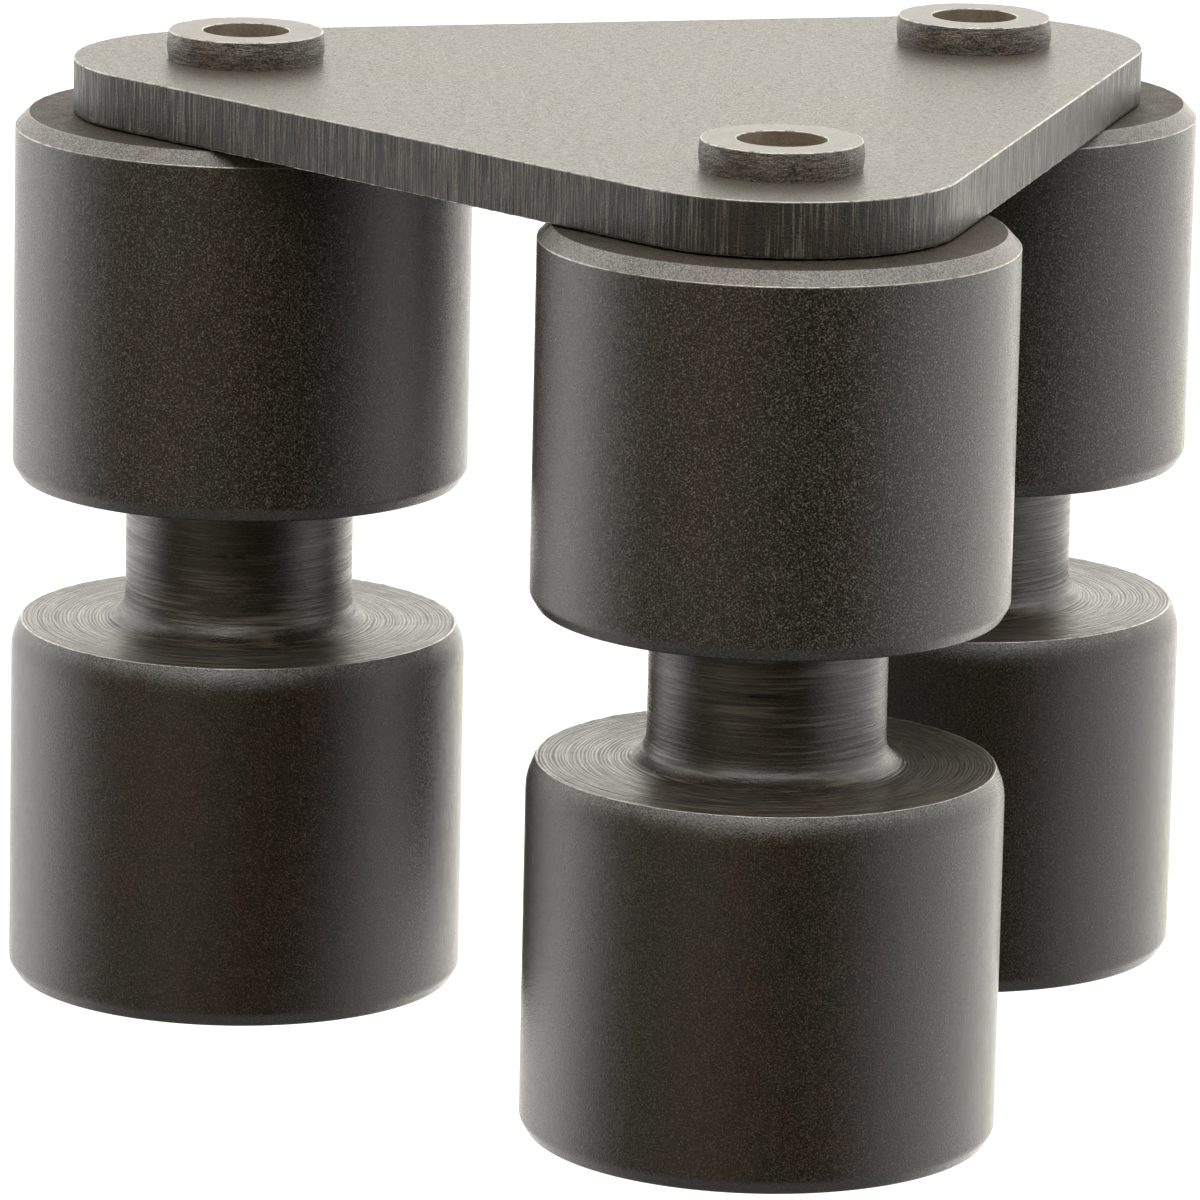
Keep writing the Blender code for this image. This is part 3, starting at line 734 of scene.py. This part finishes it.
def mounting_plate():
    """The plate: its rough cut edge, its two flats, and a stepped hole per post."""
    outline = plate_outline(0.095 * MM)
    vertices = []
    rows = []
    for level, inset, lines, rag, burr, _ in plate_rows():
        row = []
        for x, y, out_x, out_y, run in outline:
            spot = Vector((run / (0.11 * MM), level / (1.4 * MM), 3.7))
            streak = noise.noise(spot) + 0.6 * noise.noise(spot * 2.3)
            tatter = noise.noise(Vector((run / (0.30 * MM), level / (0.1 * MM), 9.1)))
            hang = max(0.0, noise.noise(Vector((run / (0.45 * MM), 1.3, 5.2))) + 0.25)
            reach = -inset * MM + PLATE_LINE_DEPTH * lines * streak
            reach += PLATE_RAG_DEPTH * rag * tatter
            drop = PLATE_BURR_DROP * burr * hang
            row.append(len(vertices))
            vertices.append((x + out_x * reach, y + out_y * reach, level - drop))
        rows.append(row)
    faces = []
    bands = []
    count = len(outline)
    for (lower, upper), (*_, band) in zip(zip(rows, rows[1:]), plate_rows()):
        for i in range(count):
            k = (i + 1) % count
            faces.append((lower[i], lower[k], upper[k], upper[i]))
            bands.append(band)
    plate = mesh_object("plate_shell", vertices, faces, bands, [PLATE_FACE, PLATE_SIDE, EDGE], 60)
    shape = bmesh.new()
    shape.from_mesh(plate.data)
    shape.verts.ensure_lookup_table()
    ends = {0: [], 1: []}
    for end, row in ((0, rows[0]), (1, rows[-1])):
        loop = [shape.verts[i] for i in row]
        ends[end] += [shape.edges.get((loop[i - 1], loop[i])) for i in range(count)]
    steps = 64
    seat_radius = COLLAR_BASE_RADIUS + 0.01 * MM
    bore = [
        (PLATE_BOTTOM, SHANK_HOLE_RADIUS + 0.1 * MM),
        (PLATE_BOTTOM + 0.1 * MM, SHANK_HOLE_RADIUS),
        (COLLAR_SEAT_FLOOR, SHANK_HOLE_RADIUS),
        (COLLAR_SEAT_FLOOR, seat_radius),
        (PLATE_TOP, seat_radius),
    ]
    for post in POSTS:
        axis = post_axis(post)
        circles = []
        for level, radius in bore:
            circle = []
            for step in range(steps):
                angle = 2 * math.pi * step / steps
                x = axis.x + radius * math.cos(angle)
                y = axis.y + radius * math.sin(angle)
                circle.append(shape.verts.new((x, y, level)))
            circles.append(circle)
        for lower, upper in zip(circles, circles[1:]):
            for i in range(steps):
                face = shape.faces.new((lower[i - 1], lower[i], upper[i], upper[i - 1]))
                face.material_index = 1
                face.smooth = True
        for end, circle in ((0, circles[0]), (1, circles[-1])):
            ends[end] += [shape.edges.get((circle[i - 1], circle[i])) for i in range(steps)]
    for end in ends.values():
        filled = bmesh.ops.triangle_fill(shape, edges=end, use_beauty=True)["geom"]
        for face in filled:
            if isinstance(face, bmesh.types.BMFace):
                face.material_index = 0
                face.smooth = True
        for edge in end:
            edge.smooth = False
    bmesh.ops.recalc_face_normals(shape, faces=shape.faces)
    shape.to_mesh(plate.data)
    shape.free()
    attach(plate, "gripper_base")
    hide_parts("mounting_plate")


# The posts


def ragged(level, radius, reach, out, up, seed):
    """A shift that roughens the rings near one edge of a turned body."""

    def shift(angle, at_radius, at_level):
        distance = math.hypot(at_radius - radius, at_level - level)
        share = max(0.0, 1 - distance / reach)
        if share == 0.0:
            return 0.0, 0.0
        x = math.cos(angle) * at_radius / MM
        y = math.sin(angle) * at_radius / MM
        coarse = noise.noise(Vector((x * 1.1, y * 1.1, seed)))
        fine = noise.noise(Vector((x * 3.7, y * 3.7, seed + 7)))
        value = share * (0.6 * coarse + 0.8 * fine)
        return out * value, up * value

    return shift


def cylinder_shell(post):
    """The cylinder. Its shoulder stops just under the plate, so that a thin
    dark crevice is left."""
    land, chamfer, edge, inner, ring = 0, 1, 2, 3, 4
    shoulder = PLATE_BOTTOM - 0.14 * MM
    corners = [
        corner(SEAL_POCKET_RADIUS, shoulder, 0.05 * MM, ring),
        corner(POST_RADIUS - 0.72 * MM, shoulder, 0.12 * MM, chamfer),
        corner(POST_RADIUS, shoulder - EDGE_BREAK, 0.10 * MM, land, edge),
        corner(POST_RADIUS, CYLINDER_BOTTOM + EDGE_BREAK, 0.55 * MM, land),
        corner(POST_RADIUS - 0.45 * MM, CYLINDER_BOTTOM, 0.30 * MM, chamfer, land),
        corner(BORE_RADIUS, CYLINDER_BOTTOM, 0.10 * MM, inner, edge),
        corner(BORE_RADIUS, SNAP_GROOVE_BOTTOM, 0.0, inner),
        corner(SNAP_GROOVE_RADIUS, SNAP_GROOVE_BOTTOM, 0.0, inner),
        corner(SNAP_GROOVE_RADIUS, GLAND_BOTTOM, 0.0, inner),
        corner(BORE_RADIUS, GLAND_BOTTOM, 0.0, inner),
        corner(BORE_RADIUS, CHAMBER_TOP, 0.0, inner),
        corner(SHANK_HOLE_RADIUS, CHAMBER_TOP, 0.0, inner),
        corner(SHANK_HOLE_RADIUS, SEAL_POCKET_FLOOR, 0.0, inner),
        corner(SEAL_POCKET_RADIUS, SEAL_POCKET_FLOOR, 0.0, inner),
    ]
    rough = ragged(
        shoulder - 0.4 * MM, POST_RADIUS - 0.4 * MM, 0.8 * MM, 0.04 * MM, 0.04 * MM, 2.0
    )
    shell = lathe(
        f"cylinder_shell_{post}",
        soften(corners, True),
        [CYLINDER_LAND, CHAMFER, EDGE, FACE, SHOULDER],
        192,
        shift=rough,
    )
    seat(shell, post, "gripper_base", "black_oxide", f"cylinder_body_{post}")


def port_collar(post):
    """The hollow collar on the plate, with its shank and the stem below it. The
    collar bulges a little halfway up."""
    side, face, edge, inner, bore = 0, 1, 2, 3, 4
    lip, belly = 4.27 * MM, 4.34 * MM
    middle = (PLATE_TOP + COLLAR_TOP) / 2
    base = PLATE_TOP - 0.2 * MM
    outlet = (PISTON_TOP + CHAMBER_TOP) / 2 - STEM_BORE_RADIUS
    corners = [
        corner(0.0, outlet, 0.0, inner),
        corner(STEM_BORE_RADIUS, outlet, 0.0, inner),
        corner(STEM_BORE_RADIUS, PLATE_BOTTOM, 0.0, inner),
        corner(PORT_RADIUS, PLATE_BOTTOM, 0.0, bore),
        corner(PORT_RADIUS, COLLAR_TOP, 0.07 * MM, face, edge),
        corner(lip, COLLAR_TOP, 0.08 * MM, side, edge),
        corner(belly, middle + 0.35 * MM, 0.0, side),
        corner(COLLAR_RADIUS, middle, 0.0, side),
        corner(belly, middle - 0.4 * MM, 0.0, side),
        corner(COLLAR_BASE_RADIUS, PLATE_TOP + 0.08 * MM, 0.0, side),
        corner(COLLAR_BASE_RADIUS, base, 0.0, side),
        corner(SHANK_RADIUS, base, 0.0, inner),
        corner(SHANK_RADIUS, CHAMBER_TOP, 0.0, inner),
        corner(STEM_RADIUS, CHAMBER_TOP, 0.0, inner),
        corner(STEM_RADIUS, STEM_BOTTOM, 0.15 * MM, inner),
        corner(0.0, STEM_BOTTOM, 0.0, inner),
    ]
    top_edge = ragged(COLLAR_TOP, lip, 0.7 * MM, 0.05 * MM, 0.03 * MM, 5.0)

    def shift(angle, radius, level):
        out, up = top_edge(angle, radius, level)
        if radius > 4.3 * MM and level > PLATE_TOP:
            x, y = 6 * math.cos(angle), 6 * math.sin(angle)
            out += 0.03 * MM * noise.noise(Vector((x, y, level / MM * 2.5)))
        return out, min(up, COLLAR_TOP - level)

    collar = lathe(
        f"port_collar_{post}",
        soften(corners, False),
        [COLLAR_SIDE, COLLAR_FACE, EDGE, FACE, PORT_WALL_PAINTED_LIT],
        128,
        closed=False,
        shift=shift,
    )
    seat(collar, post, "gripper_base", "black_oxide", f"port_stem_{post}")


def fillet_arc(upper_band, lower_band):
    """The hollow where the neck flares into the head: (radius, level, finish)."""
    steps = 12
    arc = []
    for step in range(steps + 1):
        turned = math.radians(90 * step / steps)
        radius = ROD_RADIUS + NECK_FILLET * (1 - math.cos(turned))
        level = HEAD_TOP + NECK_FILLET * (1 - math.sin(turned))
        arc.append((radius, level, upper_band if step < 8 else lower_band))
    return arc


def plunger(post):
    """The jaw: a round head, a turned neck with one score mark in it, and the
    rod that goes up into the cylinder."""
    land, edge, face, neck = 0, 1, 2, 3
    rim = POST_RADIUS - 0.5 * MM
    plug_bore = PLUG_RADIUS + CLEARANCE
    seed = POST_TURNS[post]
    marks_top = CYLINDER_BOTTOM + 1.2 * MM
    score_top, score_bottom = SCORE_LEVEL + 0.09 * MM, SCORE_LEVEL - 0.09 * MM
    marks_bottom = HEAD_TOP + NECK_FILLET + 0.1 * MM
    upper_marks = turning_marks((ROD_RADIUS, marks_top), (ROD_RADIUS, score_top), seed)
    lower_marks = turning_marks((ROD_RADIUS, score_bottom), (ROD_RADIUS, marks_bottom), seed + 10)
    corners = [
        corner(STEM_GUIDE_RADIUS, SPIGOT_TOP, 0.0, neck),
        corner(SPIGOT_RADIUS, SPIGOT_TOP, 0.2 * MM, neck),
        corner(SPIGOT_RADIUS, ROD_SHOULDER, 0.0, neck),
        corner(ROD_RADIUS, ROD_SHOULDER, 0.2 * MM, neck),
        corner(ROD_RADIUS, marks_top, 0.0, neck),
        *[corner(*spot, 0.0, neck) for spot in upper_marks],
        corner(ROD_RADIUS, score_top, 0.0, neck),
        corner(ROD_RADIUS, SCORE_LEVEL + 0.02 * MM, 0.0, neck),
        corner(ROD_RADIUS, SCORE_LEVEL - 0.02 * MM, 0.0, neck),
        corner(ROD_RADIUS, score_bottom, 0.0, neck),
        *[corner(*spot, 0.0, neck) for spot in lower_marks],
        *[corner(*spot, 0.0, band) for *spot, band in fillet_arc(neck, face)],
        corner(rim - 0.10 * MM, HEAD_TOP, 0.0, edge),
        corner(rim, HEAD_TOP, 0.05 * MM, land, edge),
        corner(rim + 0.08 * MM, HEAD_TOP - 0.16 * MM, 0.0, land),
        corner(POST_RADIUS, HEAD_TOP - 1.0 * MM, 3.0 * MM, land),
        corner(POST_RADIUS, EDGE_BREAK, 0.55 * MM, land),
        corner(POST_RADIUS - 0.45 * MM, 0.0, 0.30 * MM, face, land),
        corner(plug_bore, 0.0, 0.15 * MM, face, edge),
        corner(plug_bore, PLUG_BORE_TOP, 0.0, face),
        corner(SPRING_POCKET_RADIUS, PLUG_BORE_TOP, 0.0, face),
        corner(SPRING_POCKET_RADIUS, SPRING_SHOULDER, 0.0, face),
        corner(STEM_GUIDE_RADIUS, SPRING_SHOULDER, 0.0, face),
    ]
    rough = ragged(HEAD_TOP, rim, 0.35 * MM, 0.05 * MM, 0.03 * MM, 8.0)

    def shift(angle, radius, level):
        out, up = rough(angle, radius, level)
        if radius < ROD_RADIUS + 0.1 * MM and level > HEAD_TOP + NECK_FILLET:
            x, y = 3 * math.cos(angle), 3 * math.sin(angle)
            out -= 0.003 * MM * abs(noise.noise(Vector((x, y, level / MM * 5))))
            if abs(level - SCORE_LEVEL) < 0.03 * MM:
                turned = math.degrees(angle) + POST_TURNS[post] - SCORE_BEARING
                from_middle = abs((turned + 180) % 360 - 180) / SCORE_HALF_WIDTH
                share = max(0.0, 1 - from_middle) ** 0.5
                out -= SCORE_DEPTH * share * (0.7 + noise.noise(Vector((x * 4, y * 4, 2.0))))
        return out, up

    body = lathe(
        f"plunger_{post}",
        soften(corners, True),
        [HEAD_LAND, EDGE, FACE, NECK],
        192,
        shift=shift,
    )
    seat(body, post, f"jaw_{post}", "black_oxide", f"jaw_plunger_{post}")


def head_plug(post):
    """The plug in the head's underside, with a hexagon socket."""
    flats = 2.5 * MM
    socket_top = PLUG_BOTTOM + 2.5 * MM
    corners = [
        corner(0.0, PLUG_TOP, 0.0, 0),
        corner(PLUG_RADIUS, PLUG_TOP, 0.2 * MM, 0),
        corner(PLUG_RADIUS, PLUG_BOTTOM, 0.5 * MM, 0),
        corner(flats + 0.75 * MM, PLUG_BOTTOM, 0.0, 1),
        corner(flats, PLUG_BOTTOM + 0.35 * MM, 0.0, 0),
        corner(flats, socket_top, 0.0, 0),
        corner(0.0, socket_top + 0.5 * MM, 0.0, 0),
    ]

    def socket(radius, level):
        return radius <= flats and PLUG_BOTTOM < level <= socket_top

    plug = lathe(
        f"plug_{post}", soften(corners, False), [FACE, EDGE], 96, closed=False, hexagon=socket
    )
    seat(plug, post, f"jaw_{post}", "black_oxide", f"head_plug_{post}")


def gland_bush(post):
    """The bronze bush that guides the rod, with a groove for a seal on each side."""
    guide = ROD_RADIUS + CLEARANCE
    seal_low, seal_high = ROD_GROOVE_BOTTOM, ROD_GROOVE_BOTTOM + ROD_GROOVE_WIDTH
    ring_low, ring_high = GLAND_GROOVE_BOTTOM, GLAND_GROOVE_BOTTOM + GLAND_GROOVE_WIDTH
    inner_floor = guide + ROD_GROOVE_DEPTH
    outer_floor = SLIDING_RADIUS - GLAND_GROOVE_DEPTH
    broken = 0.12 * MM
    corners = [
        corner(guide, GLAND_TOP, broken),
        corner(SLIDING_RADIUS, GLAND_TOP, broken),
        corner(SLIDING_RADIUS, ring_high),
        corner(outer_floor, ring_high),
        corner(outer_floor, ring_low),
        corner(SLIDING_RADIUS, ring_low),
        corner(SLIDING_RADIUS, GLAND_BOTTOM, 0.25 * MM),
        corner(guide, GLAND_BOTTOM, 0.25 * MM),
        corner(guide, seal_low),
        corner(inner_floor, seal_low),
        corner(inner_floor, seal_high),
        corner(guide, seal_high),
    ]
    bush = lathe(f"gland_{post}", soften(corners, True), [BRONZE], 96)
    seat(bush, post, "gripper_base", "bronze", f"gland_bush_{post}")


def return_spring(post):
    """A coil of round wire with a closed turn at each end. The real spring shortens as its
    jaw opens; this coil keeps one length."""
    closed_pitch = SPRING_WIRE * 1.2
    open_turns = SPRING_TURNS - 2
    open_pitch = (SPRING_LENGTH - SPRING_WIRE - 2 * closed_pitch) / open_turns
    per_turn, sides = 28, 10
    wire = SPRING_WIRE / 2
    vertices = []
    for step in range(SPRING_TURNS * per_turn + 1):
        turn = step / per_turn
        rise = closed_pitch * (min(turn, 1) + max(turn - 1 - open_turns, 0))
        rise += open_pitch * min(max(turn - 1, 0), open_turns)
        angle = 2 * math.pi * turn
        for side in range(sides):
            around = 2 * math.pi * side / sides
            reach = SPRING_COIL_RADIUS + wire * math.cos(around)
            level = SPRING_BOTTOM + wire + rise + wire * math.sin(around)
            vertices.append((reach * math.cos(angle), reach * math.sin(angle), level))
    faces = [tuple(range(sides)), tuple(range(len(vertices) - sides, len(vertices)))]
    for start in range(0, len(vertices) - sides, sides):
        for side in range(sides):
            after = (side + 1) % sides
            faces.append(
                (start + side, start + after, start + sides + after, start + sides + side)
            )
    coil = mesh_object(f"spring_{post}", vertices, faces, [0] * len(faces), [SPRING_STEEL], 60.0)
    seat(coil, post, "gripper_base", "spring_steel", f"return_spring_{post}")
    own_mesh(coil)


mounting_plate()
for name in POSTS:
    gland_bush(name)
    return_spring(name)
    cylinder_shell(name)
    port_collar(name)
    plunger(name)
    head_plug(name)

NODE_FINISHES = {
    "port_seal": RUBBER,
    "cushion_ring": RUBBER,
    "rod_seal": RUBBER,
    "gland_seal": RUBBER,
    "piston_seal": RUBBER,
    "stem_seal": RUBBER,
    "piston": ALLOY,
    "retaining_ring": SPRING_STEEL,
    "stem_nut": SPRING_STEEL,
}
for kind, material in NODE_FINISHES.items():
    for name in POSTS:
        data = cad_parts[f"{kind}_{name}"].data
        data.materials.clear()
        data.materials.append(material)


# Floor, light and camera


def studio_floor():
    """A pale floor, well below the lowest point that the open jaws reach, so
    that the gripper hangs in clear light as it does on a robot's wrist."""
    size = 1.6
    level = -40.0 * MM
    mesh = bpy.data.meshes.new("floor")
    spots = [(-size, -size, level), (size, -size, level), (size, size, level), (-size, size, level)]
    mesh.from_pydata(spots, [], [(0, 1, 2, 3)])
    floor = bpy.data.objects.new("floor", mesh)
    bpy.context.scene.collection.objects.link(floor)
    finish = Finish("pale_floor")
    finish.wear((0.85, 0.85, 0.85), 0.9, metallic=0.0)
    finish.shader.inputs["Specular IOR Level"].default_value = 0.0
    finish.shader.inputs["Emission Color"].default_value = (1.0, 1.0, 1.0, 1.0)
    finish.shader.inputs["Emission Strength"].default_value = 0.35
    clear = finish.add("ShaderNodeBsdfTransparent")
    side = finish.add("ShaderNodeNewGeometry")
    mixed = finish.add("ShaderNodeMixShader")
    finish.feed(mixed.inputs[0], side.outputs["Backfacing"])
    finish.feed(mixed.inputs[1], finish.shader.outputs["BSDF"])
    finish.feed(mixed.inputs[2], clear.outputs["BSDF"])
    output = finish.tree.nodes["Material Output"]
    finish.feed(output.inputs["Surface"], mixed.outputs["Shader"])
    mesh.materials.append(finish.material)
    floor.visible_glossy = False
    floor.visible_diffuse = False


# Brightness and warmth round the studio, by bearing in degrees: 0 is the camera's
# side, positive is to its right, and 180 is behind the object
LIGHT_BANK = [
    (-180, 1.95, 0.11),
    (-157, 1.25, 0.07),
    (-128, 1.60, 0.04),
    (-110, 1.50, 0.04),
    (-94, 0.55, 0.06),
    (-81, 0.12, 0.20),
    (-69, 0.05, 0.40),
    (-59, 0.12, 0.40),
    (-48, 0.30, 0.26),
    (-38, 0.32, 0.28),
    (-18, 0.19, 0.42),
    (0, 0.10, 0.50),
    (18, 0.05, 0.50),
    (38, 0.02, 0.50),
    (48, 0.05, 0.25),
    (59, 0.50, 0.06),
    (70, 0.72, 0.04),
    (94, 0.90, 0.04),
    (110, 1.05, 0.05),
    (128, 1.60, 0.07),
    (157, 2.00, 0.11),
    (180, 1.95, 0.11),
]
# Soft boxes above: bearing, elevation, cosines of the edges, and brightness
SOFT_BOXES = [(-16, 50, 0.93, 0.985, 1.9), (58, 62, 0.95, 0.99, 1.5)]
# Light overhead and underfoot: sines of the elevations where it starts and is
# full, and brightness
CAPS = [(0.40, 0.78, 1.20), (-0.50, -0.80, 0.28)]


def studio_light():
    """The room's light. The camera itself sees plain white behind the object."""
    world = bpy.data.worlds.new("studio")
    bpy.context.scene.world = world
    world.use_nodes = True
    world.node_tree.nodes.clear()
    room = Nodes(world.node_tree)
    turned = room.add("ShaderNodeMapping", vector_type="POINT")
    turned.inputs["Rotation"].default_value[2] = math.radians(-VIEW_AZIMUTH)
    room.feed(turned.inputs["Vector"], room.add("ShaderNodeTexCoord").outputs["Generated"])
    direction = turned.outputs["Vector"]
    parts = room.parts(direction)
    away = room.math("MULTIPLY", parts["Y"], -1.0)
    bearing = room.math("ARCTAN2", parts["X"], away)
    ramp = room.add("ShaderNodeValToRGB")
    room.feed(ramp.inputs["Fac"], room.span(bearing, -math.pi, math.pi))
    stops = ramp.color_ramp.elements
    while len(stops) < len(LIGHT_BANK):
        stops.new(0.5)
    # A ramp's colours go up to 1 only, so they are halved here and doubled after
    for stop, (degrees, level, warmth) in zip(stops, LIGHT_BANK):
        stop.position = 0.5 + degrees / 360
        stop.color = (level / 2, level / 2 * (1 - 0.33 * warmth), level / 2 * (1 - warmth), 1.0)
    colors = room.scaled(ramp.outputs["Color"], 2.0)
    for low, high, level in CAPS:
        share = room.span(parts["Z"], low, high, smooth=True)
        colors = room.mix(share, colors, (level, level * 0.98, level * 0.94))
    for bearing, elevation, outer, inner, level in SOFT_BOXES:
        turn, rise = math.radians(bearing), math.radians(elevation)
        across, up = math.cos(rise), math.sin(rise)
        aim = room.add("ShaderNodeVectorMath", operation="DOT_PRODUCT")
        room.feed(aim.inputs[0], direction)
        aim.inputs[1].default_value = (math.sin(turn) * across, -math.cos(turn) * across, up)
        patch = room.span(aim.outputs["Value"], outer, inner, 0.0, level, smooth=True)
        colors = room.vector("ADD", colors, patch)
    light = room.add("ShaderNodeBackground")
    room.feed(light.inputs["Color"], colors)
    backdrop = room.add("ShaderNodeBackground")
    room.feed(backdrop.inputs["Color"], (1.0, 1.0, 1.0))
    both = room.add("ShaderNodeMixShader")
    room.feed(both.inputs[0], room.add("ShaderNodeLightPath").outputs["Is Camera Ray"])
    room.feed(both.inputs[1], light.outputs["Background"])
    room.feed(both.inputs[2], backdrop.outputs["Background"])
    output = room.add("ShaderNodeOutputWorld")
    room.feed(output.inputs["Surface"], both.outputs["Shader"])


def camera():
    azimuth = math.radians(VIEW_AZIMUTH)
    elevation = math.radians(VIEW_ELEVATION)
    across, rise = math.cos(elevation), math.sin(elevation)
    back = Vector((math.sin(azimuth) * across, -math.cos(azimuth) * across, rise))
    level_right = Vector((0.0, 0.0, 1.0)).cross(back).normalized()
    level_up = back.cross(level_right)
    roll = math.radians(VIEW_ROLL)
    right = level_right * math.cos(roll) + level_up * math.sin(roll)
    up = back.cross(right)
    data = bpy.data.cameras.new("camera")
    data.lens = VIEW_LENS
    data.sensor_width = 36.0
    data.clip_start = 0.01
    obj = bpy.data.objects.new("camera", data)
    bpy.context.scene.collection.objects.link(obj)
    place = Matrix((right, up, back)).transposed().to_4x4()
    place.translation = VIEW_TARGET + back * VIEW_DISTANCE
    obj.matrix_world = place
    bpy.context.scene.camera = obj


studio_floor()
studio_light()
camera()
bpy.context.scene.view_settings.view_transform = "Standard"
